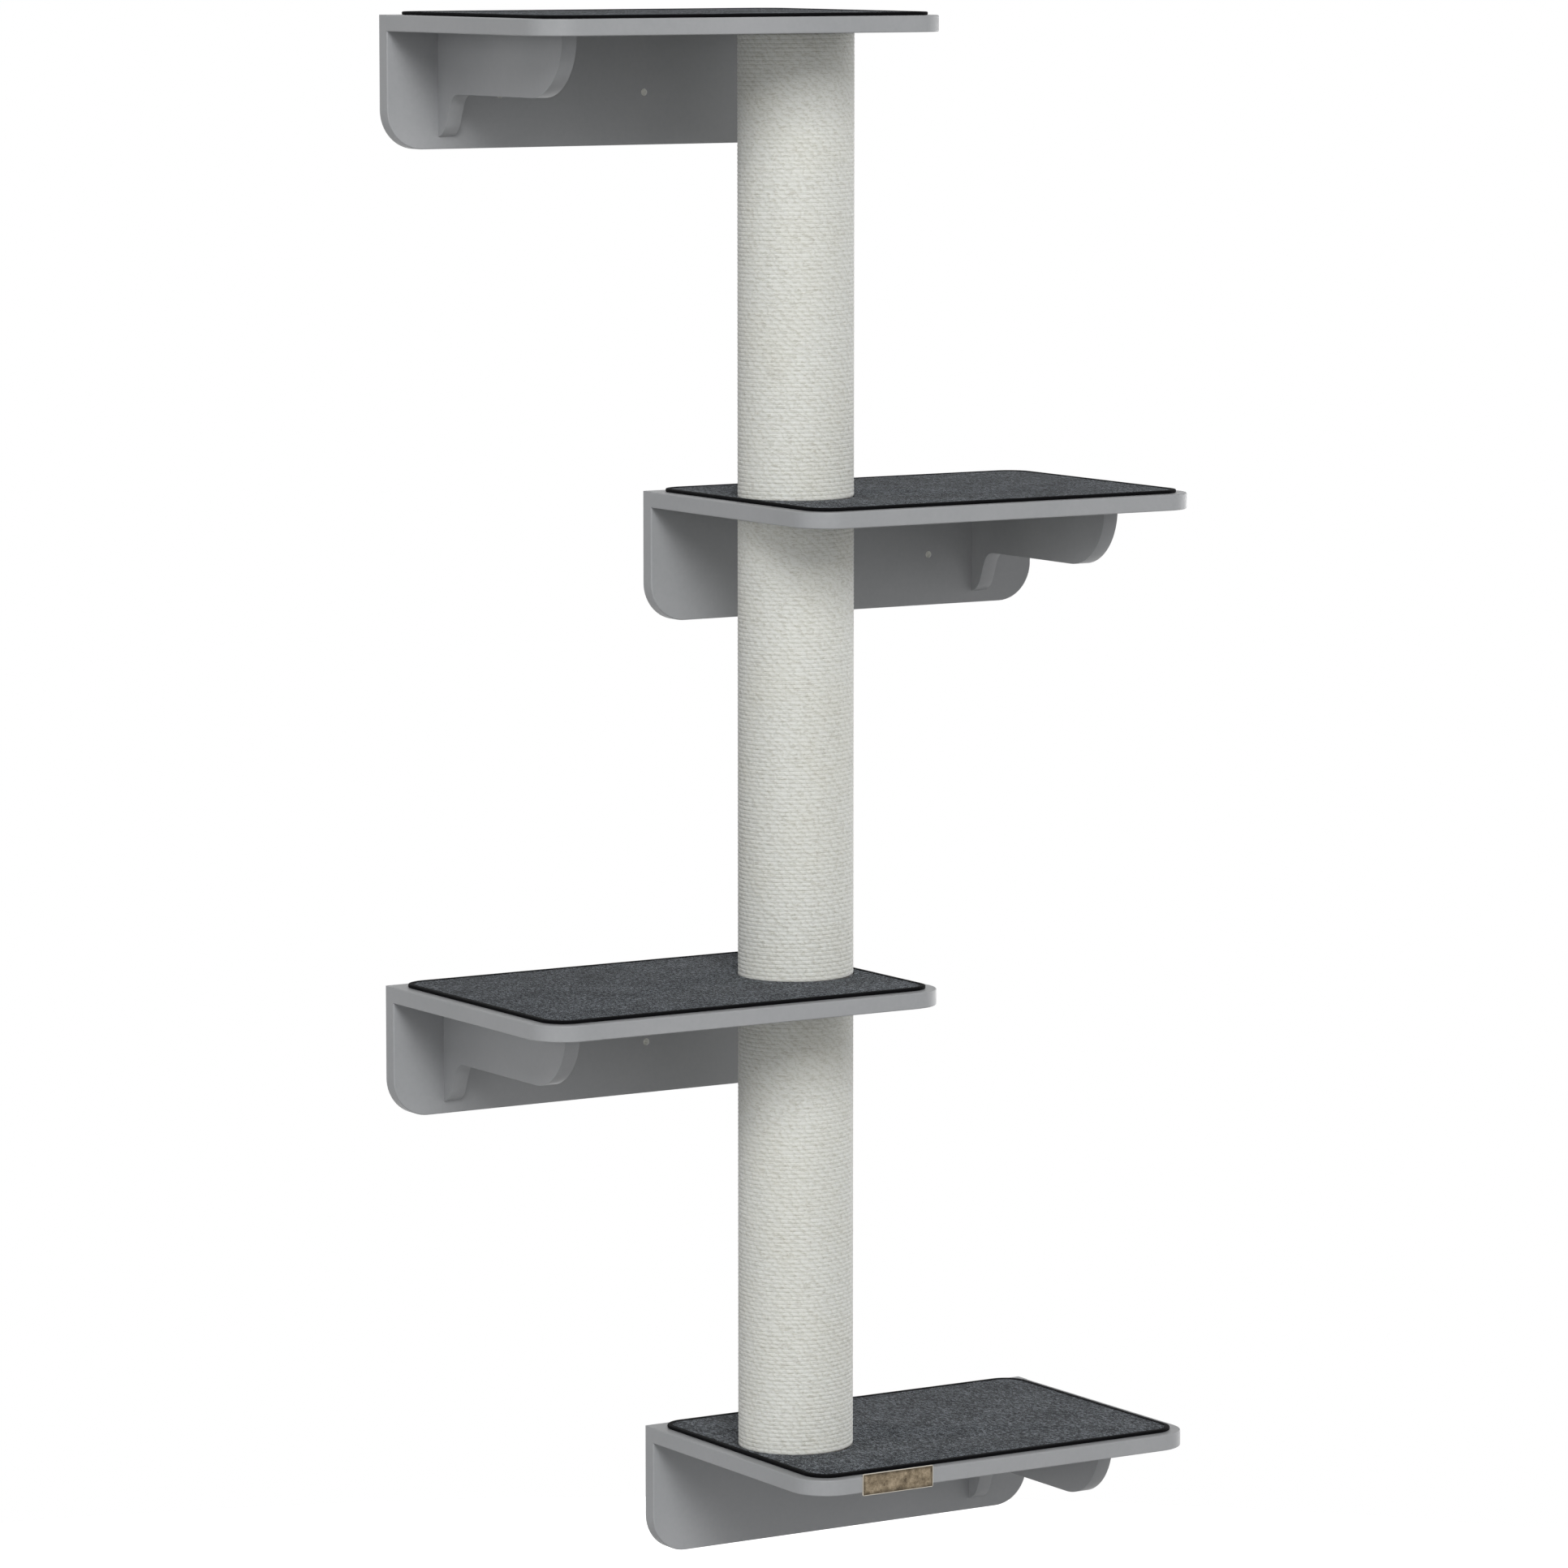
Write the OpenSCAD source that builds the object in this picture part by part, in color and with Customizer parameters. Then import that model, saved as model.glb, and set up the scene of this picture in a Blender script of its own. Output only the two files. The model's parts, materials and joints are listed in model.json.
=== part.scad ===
// Wall mounted cat tree: four platforms, staggered left and right of one line of rope-wound
// posts. Each platform has a back board that is screwed to the wall and one bracket under its
// far end. The wall is the plane y = 0 and the front is -y. The origin lies on the wall, behind
// the posts, at the height of the lowest pair of wall holes. Lengths are in millimetres.

/* [Shelves] */
// Width of each shelf along the wall
shelf_w = 357.5; // [320:0.5:450]
// Depth from the wall to the front edge of a platform
shelf_d = 250; // [235:1:320]
// Height from one platform to the next
shelf_pitch = 372; // [250:1:450]
// Thickness of the platforms
platform_t = 12.5; // [10:0.5:15]
// Radius of a platform's two front corners
platform_corner_r = 30; // [10:1:60]
// Easing of the boards' free edges
edge_r = 1; // [0.5:0.1:2]

/* [Back boards] */
// Thickness of the back boards
back_t = 12.5; // [9:0.5:18]
// Height of a back board, from the platform's top to its lower edge
back_h = 102; // [98:0.5:140]
// Radius of a back board's two lower corners
back_corner_r = 30; // [10:1:45]
// Diameter of the holes for the wall screws
wall_hole_d = 5; // [4:0.5:8]
// Height of the wall holes above the back board's lower edge
wall_hole_rise = 40.5; // [25:0.5:55]
// Distance between the two wall holes of a board
wall_hole_gap = 128.5; // [100:0.5:170]
// Distance from the bracket's end of the board to the nearer wall hole
wall_hole_inset = 98.5; // [75:0.5:120]

/* [Brackets] */
// Thickness of a bracket
bracket_t = 12.5; // [9:0.5:18]
// Distance from the shelf's end to the middle of its bracket
bracket_inset = 50.5; // [30:0.5:70]
// Reach of a bracket in front of the back board
bracket_reach = 186.5; // [120:0.5:215]
// Depth of a bracket's arm below the platform
arm_h = 47.5; // [38:0.5:52]
// Radius of the arm's nose
nose_r = 46; // [10:1:46]
// Length of a bracket's leg below the platform
leg_h = 80.5; // [75:0.5:84]
// Thickness of the leg halfway down the part that shows below the arm
leg_waist = 14.5; // [10:0.5:30]
// Lean of the leg's front edge from the vertical, in degrees
leg_lean = 22; // [0:1:35]
// Radius of the leg's round toe
toe_r = 17; // [6:0.5:20]
// Radius of the hollow where the leg meets the arm
hollow_r = 14; // [6:0.5:18]

/* [Posts] */
// Distance from the shelf's end to the axis of the posts
post_inset = 62.5; // [58:0.5:90]
// Diameter of a post over its rope
post_d = 90; // [70:1:100]
// Wall of the cardboard core tube
tube_wall = 4; // [2:0.5:8]
// Thickness of the wooden plug in each end of a tube
plug_t = 20; // [16:1:40]

/* [Rope] */
// Height that one turn of rope takes along the post, and the rope's thickness
rope_pitch = 3.2; // [2.6:0.1:6]
// Gap left between the turns that are shown one by one
rope_gap = 0.45; // [0.42:0.01:0.8]
// Turns shown one by one at the foot of each post
rope_turns = 8; // [2:1:10]

/* [Mats] */
// Bare strip of the platform in front of a mat
mat_front_inset = 8.5; // [4:0.5:20]
// Bare strip at each side of a mat
mat_side_inset = 9; // [4:0.5:12]
// Bare strip behind a mat
mat_back_inset = 5; // [2:0.5:20]
// Radius of a mat's corners
mat_corner_r = 20; // [10:1:40]
// Thickness of the felt
felt_t = 1.6; // [1:0.1:5]
// Width of the binding on top of the felt
binding_w = 4; // [3:0.5:8]
// Thickness of the binding tape and of the hook patches
tape_t = 0.5; // [0.3:0.1:1]
// Length of a hook patch
patch_l = 40; // [20:1:50]
// Width of a hook patch
patch_w = 20; // [10:1:25]

/* [Fasteners] */
// Diameter of the bolts and joining studs
bolt_d = 8; // [6:0.5:9]
// Length of a bolt or stud inside a post
bolt_grip = 17; // [12:0.5:30]
// Diameter of the sunk head of the top bolt
bolt_head_d = 16; // [12:0.5:18]
// Height of the sunk head of the top bolt
bolt_head_h = 4.4; // [3:0.1:6]
// Outer diameter of the threaded inserts
insert_d = 12; // [10:0.5:14]
// Length of the threaded inserts
insert_l = 15; // [8:0.5:16]
// Diameter of an insert's flange
insert_flange_d = 16; // [15:0.5:22]
// Width across the flats of the foot bolt's head
hex_w = 13; // [10:0.5:16]
// Height of the foot bolt's head
hex_h = 5.3; // [3:0.1:8]
// Diameter of the foot washer
washer_d = 24; // [18:1:36]
// Thickness of the foot washer
washer_t = 1.6; // [1:0.1:3]
// Diameter of the wood screws
screw_d = 4; // [3:0.5:5]
// Length of the wood screws
screw_l = 35; // [25:1:45]
// Diameter of a wood screw's head
screw_head_d = 8; // [6:0.5:9]
// Height of a wood screw's head
screw_head_h = 2.6; // [1.5:0.1:4]

/* [Nameplate] */
// Length of the bare plate on the front of the lowest shelf
plate_l = 64.5; // [40:0.5:90]
// Height of the plate
plate_h = 17; // [8:0.5:20]
// Thickness of the plate
plate_t = 1; // [0.5:0.1:2]
// Distance from the plate's middle to the axis of the posts
plate_offset = 14; // [0:1:60]

/* [Hidden] */
$fn = 96;
shelf_count = 4;
post_count = shelf_count - 1;

// Overrun of every cut past the face that it opens
cut = 1;
// Gap round a bolt or stud in a platform
bolt_clear = 0.4;
// Gap between a bolt's thread and its insert
thread_fit = 0.1;
// Gap round a screw, an insert or a plug in its hole
snug_fit = 0.1;
// Gap between a soft piece and a round or upright neighbour
soft_gap = 0.3;
// Depth of a screw's or bolt's head below the surface round it
head_sink = 0.2;
// Thickness of an insert's flange
insert_flange_t = 1.2;
// Length of a wood screw's point
screw_tip_h = 5;
// Corner radius and distance between the drive slots of small parts
plate_corner_r = 1;
slot_w = 0.9;
slot_l = 4;
slot_depth = 1.6;
socket_w = 5;
socket_depth = 2.6;
// Distance of the hook patches from the binding
patch_inset = 12;

// Places of the screws along the joint of platform and back board, as shares of the width
seam_screw_shares = [0.12, 0.5, 0.84];
// Places of the screws from behind into a bracket, as shares of the arm's depth
arm_screw_shares = [0.28, 0.75];
// Places of the screws from above into a bracket, as shares of its reach
top_screw_shares = [0.32, 0.72];
// Width of a screw's point at its end, as a share of the screw's diameter
tip_share = 0.2;
// Radius of the rope's bends, as a share of its thickness
bend_share = 1.1;
// Angle round a post at which the rope's end is tucked in: at the back, facing the wall
rope_end_angle = 90;

post_r = post_d / 2;
post_l = shelf_pitch - platform_t;
post_y = -shelf_d / 2;
tube_r = post_r - rope_pitch - soft_gap;
tube_bore_r = tube_r - tube_wall;
hole_drop = back_h - wall_hole_rise;
far_end = shelf_w - post_inset;
bracket_x = far_end - bracket_inset;
wall_hole_x = [far_end - wall_hole_inset, far_end - wall_hole_inset - wall_hole_gap];
mat_t = felt_t + 2 * tape_t;

// Winding: sides of the rope, rings in one turn and steps in a bend
rope_sides = 6;
turn_rings = 24;
bend_rings = 4;
rope_d = rope_pitch - rope_gap;
wind_r = post_r - rope_d / 2;
wind_girth = 2 * PI * wind_r;
climb = atan(rope_pitch / wind_girth);
bend_r = bend_share * rope_pitch;
foot_z = soft_gap + rope_d / 2;
turns_end_z = foot_z + rope_turns * rope_pitch;
winding_h = turns_end_z + bend_r * cos(climb) + rope_d;

// Tuck: the rope's lower end, its distance from the axis, and the bend that follows it
tuck_turn = asin(bend_r / (wind_r - bend_r));
tuck_c = (wind_r - bend_r) * [cos(rope_end_angle + tuck_turn), sin(rope_end_angle + tuck_turn)];
tuck_r = (wind_r - bend_r) * cos(tuck_turn) - rope_d;

shelf_kinds = ["platform", "back_board", "bracket", "screws", "hook_patches", "mat", "binding"];
post_kinds = ["core_tube", "upper_plug", "lower_plug", "inserts", "rope_cover", "rope_turns"];
single_kinds = ["top_bolt", "studs", "foot_bolt", "foot_washer", "nameplate"];

board_colour = "#a0a1a2";
felt_colour = "#53575b";
binding_colour = "#161616";
rope_colour = "#d0d2c8";
tube_colour = "#b08d62";
plug_colour = "#c9a878";
zinc_colour = "#b9bcc0";
brass_colour = "#c2a35a";
patch_colour = "#2a2a2c";
plate_colour = "#82765f";

// Shelves are counted from the top. The odd ones reach left of the posts, the even ones right.
function shelf_top(i) = hole_drop + (shelf_count - i) * shelf_pitch;

// Frame of shelf i: x = 0 at the posts and rising towards the bracket, z = 0 on the platform
module on_shelf(i) {
    translate([0, 0, shelf_top(i)])
        if (i % 2 == 1)
            mirror([1, 0, 0]) children();
        else
            children();
}

// Frame of the post under shelf i: its axis, with z = 0 at its foot
module on_post(i) {
    translate([0, post_y, shelf_top(i + 1)]) children();
}

// Turns what points up into what points forward, away from the wall
module from_behind() {
    rotate([-90, 0, 0]) children();
}

// Section across the free edge of a board
module eased_strip(reach, t) {
    square([reach - edge_r, t]);
    translate([0, edge_r])
        square([reach, t - 2 * edge_r]);
    for (z = [edge_r, t - edge_r])
        translate([reach - edge_r, z])
            circle(edge_r);
}

// Board with its square back edge on y = 0, eased round its other edges, with two round
// corners in front
module eased_board(w, d, t, corner_r) {
    translate([w - corner_r, 0, 0])
        rotate([90, 0, -90])
            linear_extrude(w - 2 * corner_r)
                eased_strip(d, t);
    rotate([90, 0, 0])
        linear_extrude(d - corner_r)
            translate([w / 2, 0])
                for (side = [0, 1])
                    mirror([side, 0])
                        eased_strip(w / 2, t);
    for (corner = [[corner_r, 180], [w - corner_r, 270]])
        translate([corner[0], corner_r - d, 0])
            rotate([0, 0, corner[1]])
                rotate_extrude(angle = 90)
                    eased_strip(corner_r, t);
}

// Rectangle from a corner at the origin, with round corners
module rounded_rect(w, d, r) {
    translate([r, 0])
        square([w - 2 * r, d]);
    translate([0, r])
        square([w, d - 2 * r]);
    for (x = [r, w - r])
        for (y = [r, d - r])
            translate([x, y])
                circle(r);
}

// Wood screw standing head up with the top of its head at z = 0. With a gap it is the hole
// that the screw needs.
module screw_shape(gap) {
    translate([0, 0, -screw_head_h])
        cylinder(h = screw_head_h, d1 = screw_d + 2 * gap, d2 = screw_head_d + 2 * gap);
    translate([0, 0, screw_tip_h - screw_l])
        cylinder(h = screw_l - screw_tip_h, d = screw_d + 2 * gap);
    translate([0, 0, -screw_l - gap])
        cylinder(h = screw_tip_h + gap, d1 = tip_share * screw_d + 2 * gap, d2 = screw_d + 2 * gap);
}

module wood_screw() {
    translate([0, 0, -head_sink])
        difference() {
            screw_shape(0);
            for (turn = [0, 90])
                rotate([0, 0, turn])
                    translate([-slot_l / 2, -slot_w / 2, -slot_depth])
                        cube([slot_l, slot_w, slot_depth + cut]);
        }
}

module screw_hole() {
    translate([0, 0, -head_sink]) {
        screw_shape(snug_fit);
        cylinder(h = head_sink + cut, d = screw_head_d + 2 * snug_fit);
    }
}

// The screws of one shelf, or with another child their holes: from behind into the platform,
// from behind into the bracket and from above into the bracket
module at_seam_screws() {
    for (share = seam_screw_shares)
        translate([share * shelf_w - post_inset, 0, -platform_t / 2])
            from_behind() children();
}

module at_arm_screws() {
    for (share = arm_screw_shares)
        translate([bracket_x, 0, -platform_t - share * arm_h])
            from_behind() children();
}

module at_top_screws() {
    for (share = top_screw_shares)
        translate([bracket_x, -back_t - share * bracket_reach, 0])
            children();
}

// Platform of shelf i. The uppermost has the sink for the top bolt, the others a plain hole.
module platform(i) {
    color(board_colour)
        on_shelf(i)
            difference() {
                translate([-post_inset, -back_t, -platform_t])
                    eased_board(shelf_w, shelf_d - back_t, platform_t, platform_corner_r);
                translate([0, post_y, -platform_t - cut])
                    cylinder(h = platform_t + 2 * cut, d = bolt_d + 2 * bolt_clear);
                if (i == 1)
                    translate([0, post_y, 0])
                        bolt_head_sink();
                at_seam_screws() screw_hole();
                at_top_screws() screw_hole();
            }
}

module bolt_head_sink() {
    sink_d = bolt_head_d + 2 * bolt_clear;
    translate([0, 0, -head_sink - bolt_head_h])
        cylinder(h = bolt_head_h, d1 = bolt_d + 2 * bolt_clear, d2 = sink_d);
    translate([0, 0, -head_sink])
        cylinder(h = head_sink + cut, d = sink_d);
}

// Back board of shelf i, square where the platform butts against it
module back_board(i) {
    color(board_colour)
        on_shelf(i)
            difference() {
                translate([-post_inset, 0, 0]) {
                    rotate([90, 0, 0])
                        eased_board(shelf_w, back_h, back_t, back_corner_r);
                    translate([0, -back_t, -platform_t])
                        cube([shelf_w, back_t / 2, platform_t]);
                }
                for (x = wall_hole_x)
                    translate([x, cut, -hole_drop])
                        rotate([90, 0, 0])
                            cylinder(h = back_t + 2 * cut, d = wall_hole_d);
                at_seam_screws() screw_hole();
                at_arm_screws() screw_hole();
            }
}

// Outline of a bracket: x runs forward from the back board and y up from the leg's foot
module bracket_outline() {
    free_h = leg_h - arm_h;
    nose = min(nose_r, arm_h);
    // the leg's leaning edge passes through the waist at half its free height
    lean_dir = [cos(leg_lean), -sin(leg_lean)];
    lean_at = lean_dir * [leg_waist, free_h / 2];
    toe_c = [(lean_at - toe_r + toe_r * sin(leg_lean)) / cos(leg_lean), toe_r];
    hollow_y = free_h - hollow_r;
    hollow_c = [(lean_at + hollow_r + hollow_y * sin(leg_lean)) / cos(leg_lean), hollow_y];
    toe_end = toe_c + toe_r * lean_dir;
    hollow_start = hollow_c - hollow_r * lean_dir;

    // toe, as much of its circle as stands in front of the back board
    intersection() {
        translate(toe_c)
            circle(toe_r);
        square([toe_end[0], toe_end[1]]);
    }
    // leg, with the hollow cut out of its corner
    difference() {
        polygon([[0, toe_end[1]], toe_end, hollow_start, [hollow_c[0], free_h], [0, free_h]]);
        translate(hollow_c)
            circle(hollow_r);
    }
    // arm, with its round nose
    translate([0, free_h])
        square([bracket_reach - nose, arm_h]);
    translate([0, free_h + nose])
        square([bracket_reach, arm_h - nose]);
    intersection() {
        translate([bracket_reach - nose, free_h + nose])
            circle(nose);
        translate([bracket_reach - nose, free_h])
            square(nose);
    }
}

module bracket(i) {
    color(board_colour)
        on_shelf(i)
            difference() {
                translate([bracket_x + bracket_t / 2, -back_t, -platform_t - leg_h])
                    rotate([90, 0, -90])
                        linear_extrude(bracket_t)
                            bracket_outline();
                at_arm_screws() screw_hole();
                at_top_screws() screw_hole();
            }
}

module screws(i) {
    color(zinc_colour)
        on_shelf(i) {
            at_seam_screws() wood_screw();
            at_arm_screws() wood_screw();
            at_top_screws() wood_screw();
        }
}

// A flat layer of a mat: its outline drawn in by an inset, between two heights
module mat_layer(inset, from_z, to_z) {
    translate([mat_side_inset + inset - post_inset, mat_front_inset + inset - shelf_d, from_z])
        linear_extrude(to_z - from_z)
            rounded_rect(
                shelf_w - 2 * (mat_side_inset + inset),
                shelf_d - mat_front_inset - mat_back_inset - 2 * inset,
                mat_corner_r - inset
            );
}

// Felt of mat i. All but the uppermost go round the foot of a post.
module mat(i) {
    color(felt_colour)
        on_shelf(i)
            difference() {
                mat_layer(tape_t + soft_gap, tape_t, tape_t + felt_t);
                if (i > 1)
                    translate([0, post_y, 0])
                        cylinder(h = mat_t, r = post_r + soft_gap);
            }
}

// Tape folded round the edge of the felt
module binding(i) {
    color(binding_colour)
        on_shelf(i)
            difference() {
                mat_layer(0, 0, mat_t);
                mat_layer(tape_t, tape_t, tape_t + felt_t);
                mat_layer(binding_w, -cut, mat_t + cut);
            }
}

// Hook patches on the platform, one near each corner of the mat
module hook_patches(i) {
    edge = binding_w + patch_inset;
    near_x = mat_side_inset + edge - post_inset;
    far_x = far_end - mat_side_inset - edge - patch_l;
    front_y = mat_front_inset + edge - shelf_d;
    back_y = -mat_back_inset - edge - patch_w;
    color(patch_colour)
        on_shelf(i)
            for (x = [near_x, far_x])
                for (y = [front_y, back_y])
                    translate([x, y, 0])
                        cube([patch_l, patch_w, tape_t]);
}

// Notch across the end of a post, in its tube and in the rim of its plug, through which the
// rope's end is tucked in
module rope_notch() {
    side_gap = rope_d / 2 + soft_gap;
    inner_r = tuck_r - soft_gap;
    rotate([0, 0, rope_end_angle])
        translate([inner_r, -side_gap, -cut])
            cube([post_r - inner_r, side_gap + bend_r, cut + foot_z + side_gap]);
}

module core_tube(i) {
    color(tube_colour)
        on_post(i)
            difference() {
                cylinder(h = post_l, r = tube_r);
                translate([0, 0, -cut])
                    cylinder(h = post_l + 2 * cut, r = tube_bore_r);
                rope_notch();
                translate([0, 0, post_l])
                    mirror([0, 0, 1]) rope_notch();
            }
}

// Wooden plug with its outer face on z = 0 and the seat for a flanged insert
module plug_shape() {
    color(plug_colour)
        difference() {
            cylinder(h = plug_t, r = tube_bore_r - snug_fit);
            translate([0, 0, -cut])
                cylinder(h = plug_t + 2 * cut, d = insert_d + 2 * snug_fit);
            translate([0, 0, -cut])
                cylinder(h = insert_flange_t + cut, d = insert_flange_d + 2 * snug_fit);
            rope_notch();
        }
}

module insert_shape() {
    color(brass_colour)
        difference() {
            union() {
                cylinder(h = insert_l, d = insert_d);
                cylinder(h = insert_flange_t, d = insert_flange_d);
            }
            translate([0, 0, -cut])
                cylinder(h = insert_l + 2 * cut, d = bolt_d + 2 * thread_fit);
        }
}

module lower_plug(i) {
    on_post(i) plug_shape();
}

module upper_plug(i) {
    on_post(i)
        translate([0, 0, post_l])
            mirror([0, 0, 1]) plug_shape();
}

module inserts(i) {
    on_post(i) {
        insert_shape();
        translate([0, 0, post_l])
            mirror([0, 0, 1]) insert_shape();
    }
}

// Rope above the turns that are shown one by one, as a plain sleeve
module rope_cover(i) {
    color(rope_colour)
        on_post(i)
            translate([0, 0, winding_h])
                difference() {
                    cylinder(h = post_l - winding_h, r = post_r);
                    translate([0, 0, -cut])
                        cylinder(h = post_l - winding_h + 2 * cut, r = post_r - rope_pitch);
                }
}

// Stops on the rope's route, each as [middle of the rope, angle that its outer side faces,
// slope in degrees]: one in the bend beside the notch, and one on the post
function tuck_stop(a) = [[each tuck_c + bend_r * [cos(a), sin(a)], foot_z], a, 0];

function wound_stop(a, z, slope) = [[wind_r * cos(a), wind_r * sin(a), z], a, slope];

// Route of the winding: straight out through the notch at the post's foot, a bend, the turns,
// a bend upwards and a straight tail to the cover
function winding_route() =
    let (
        tuck_a = rope_end_angle - 90,
        first_a = rope_end_angle + tuck_turn,
        last_a = first_a + 360 * rope_turns,
        tail_a = last_a + 360 * bend_r * (1 - sin(climb)) / wind_girth
    )
        concat(
            [[[tuck_r * cos(rope_end_angle), tuck_r * sin(rope_end_angle), foot_z], tuck_a, 0]],
            [
                for (k = [0:bend_rings])
                    tuck_stop(tuck_a + (first_a - tuck_a) * k / bend_rings)
            ],
            [
                for (n = [1:turn_rings * rope_turns])
                    let (turned = n / turn_rings)
                        wound_stop(first_a + 360 * turned, foot_z + turned * rope_pitch, climb)
            ],
            [
                for (k = [1:bend_rings])
                    let (
                        slope = climb + (90 - climb) * k / bend_rings,
                        way = bend_r * (sin(slope) - sin(climb)),
                        rise = bend_r * (cos(climb) - cos(slope))
                    )
                        wound_stop(last_a + 360 * way / wind_girth, turns_end_z + rise, slope)
            ],
            [wound_stop(tail_a, winding_h, 90)]
        );

// Corners of the rope round one stop, in the plane across its route
function rope_ring(stop) =
    let (
        a = stop[1],
        slope = stop[2],
        outward = [cos(a), sin(a), 0],
        across = [sin(slope) * sin(a), -sin(slope) * cos(a), cos(slope)]
    )
        [
            for (k = [0:rope_sides - 1])
                let (turn = 360 * k / rope_sides)
                    stop[0] + rope_d / 2 * (cos(turn) * outward + sin(turn) * across)
        ];

// Least gap between parts of the route that lie at least half a turn apart
function least_gap(centres) =
    min([
        for (m = [0:len(centres) - 1])
            for (n = [m + turn_rings / 2:1:len(centres) - 1])
                norm(centres[m] - centres[n])
    ]) - rope_d;

// The turns at the foot of post i: one unbroken rope wound over the core tube
module rope_turns(i) {
    route = winding_route();
    last = len(route) - 1;
    echo(least_gap_between_turns = least_gap([for (stop = route) stop[0]]));
    corners = [for (stop = route) each rope_ring(stop)];
    sides = [
        for (m = [0:last - 1])
            for (k = [0:rope_sides - 1])
                let (
                    here = m * rope_sides,
                    ahead = here + rope_sides,
                    next = (k + 1) % rope_sides
                )
                    each [[here + k, ahead + next, here + next], [here + k, ahead + k, ahead + next]]
    ];
    foot_cap = [for (k = [1:rope_sides - 2]) [0, k, k + 1]];
    top = last * rope_sides;
    top_cap = [for (k = [1:rope_sides - 2]) [top, top + k + 1, top + k]];
    color(rope_colour)
        on_post(i)
            polyhedron(points = corners, faces = concat(sides, foot_cap, top_cap));
}

// Sunk bolt from above through the uppermost platform into the first post
module top_bolt() {
    color(zinc_colour)
        on_shelf(1)
            translate([0, post_y, -head_sink])
                difference() {
                    union() {
                        translate([0, 0, -bolt_head_h])
                            cylinder(h = bolt_head_h, d1 = bolt_d, d2 = bolt_head_d);
                        translate([0, 0, head_sink - platform_t - bolt_grip])
                            cylinder(h = platform_t + bolt_grip - head_sink, d = bolt_d);
                    }
                    translate([0, 0, -socket_depth])
                        cylinder(h = socket_depth + cut, d = socket_w / cos(30), $fn = 6);
                }
}

// Joining studs through the two middle platforms, each into the posts above and below
module studs() {
    color(zinc_colour)
        for (i = [2:post_count])
            on_shelf(i)
                translate([0, post_y, -platform_t - bolt_grip])
                    cylinder(h = platform_t + 2 * bolt_grip, d = bolt_d);
}

// Bolt from below through the lowest platform into the last post
module foot_bolt() {
    color(zinc_colour)
        on_shelf(shelf_count)
            translate([0, post_y, -platform_t - washer_t]) {
                cylinder(h = washer_t + platform_t + bolt_grip, d = bolt_d);
                translate([0, 0, -hex_h])
                    cylinder(h = hex_h, d = hex_w / cos(30), $fn = 6);
            }
}

module foot_washer() {
    color(zinc_colour)
        on_shelf(shelf_count)
            translate([0, post_y, -platform_t - washer_t])
                difference() {
                    cylinder(h = washer_t, d = washer_d);
                    translate([0, 0, -cut])
                        cylinder(h = washer_t + 2 * cut, d = bolt_d + 2 * bolt_clear);
                }
}

// Bare plate centred on the front edge of the lowest platform
module nameplate() {
    color(plate_colour)
        on_shelf(shelf_count)
            translate([plate_offset - plate_l / 2, -shelf_d, -platform_t / 2 - plate_h / 2])
                rotate([90, 0, 0])
                    linear_extrude(plate_t)
                        rounded_rect(plate_l, plate_h, plate_corner_r);
}

for (i = [1:shelf_count]) {
    platform(i);
    back_board(i);
    bracket(i);
    screws(i);
    hook_patches(i);
    mat(i);
    binding(i);
}
for (i = [1:post_count]) {
    core_tube(i);
    upper_plug(i);
    lower_plug(i);
    inserts(i);
    rope_cover(i);
    rope_turns(i);
}
top_bolt();
studs();
foot_bolt();
foot_washer();
nameplate();
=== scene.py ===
import json
import math
import bpy
import bmesh
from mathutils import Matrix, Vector

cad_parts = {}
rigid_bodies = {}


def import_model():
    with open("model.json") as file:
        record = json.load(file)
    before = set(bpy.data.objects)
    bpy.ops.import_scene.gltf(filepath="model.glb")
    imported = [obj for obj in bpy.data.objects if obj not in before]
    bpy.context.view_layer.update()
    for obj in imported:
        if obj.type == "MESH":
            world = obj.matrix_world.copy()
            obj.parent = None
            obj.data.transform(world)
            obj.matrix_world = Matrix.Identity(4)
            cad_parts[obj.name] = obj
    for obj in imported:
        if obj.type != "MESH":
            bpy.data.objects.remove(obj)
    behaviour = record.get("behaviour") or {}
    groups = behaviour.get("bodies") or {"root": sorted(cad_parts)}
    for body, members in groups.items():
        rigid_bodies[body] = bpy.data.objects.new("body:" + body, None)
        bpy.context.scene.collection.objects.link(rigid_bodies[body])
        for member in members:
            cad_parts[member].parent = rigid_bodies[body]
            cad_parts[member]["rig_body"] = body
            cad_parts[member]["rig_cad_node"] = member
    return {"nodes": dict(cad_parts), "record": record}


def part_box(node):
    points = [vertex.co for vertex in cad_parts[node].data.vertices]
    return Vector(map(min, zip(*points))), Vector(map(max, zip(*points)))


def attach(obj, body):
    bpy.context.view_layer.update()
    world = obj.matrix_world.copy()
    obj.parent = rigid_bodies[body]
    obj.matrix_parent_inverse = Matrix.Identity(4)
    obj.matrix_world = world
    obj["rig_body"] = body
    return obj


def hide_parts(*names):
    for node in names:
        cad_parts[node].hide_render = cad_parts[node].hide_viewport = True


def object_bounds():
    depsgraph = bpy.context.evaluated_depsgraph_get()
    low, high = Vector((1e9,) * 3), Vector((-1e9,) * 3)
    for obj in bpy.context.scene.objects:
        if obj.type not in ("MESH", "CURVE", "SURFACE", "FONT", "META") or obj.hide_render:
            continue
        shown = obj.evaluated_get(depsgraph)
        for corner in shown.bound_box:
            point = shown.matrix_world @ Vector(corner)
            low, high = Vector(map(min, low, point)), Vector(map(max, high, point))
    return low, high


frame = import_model()
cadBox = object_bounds()
nodes = frame["nodes"]
shelves = (1, 2, 3, 4)
posts = (1, 2, 3)
print("frame loaded")


# small helpers for the hand work

def millimetres(value):
    return value * 0.001


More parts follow.
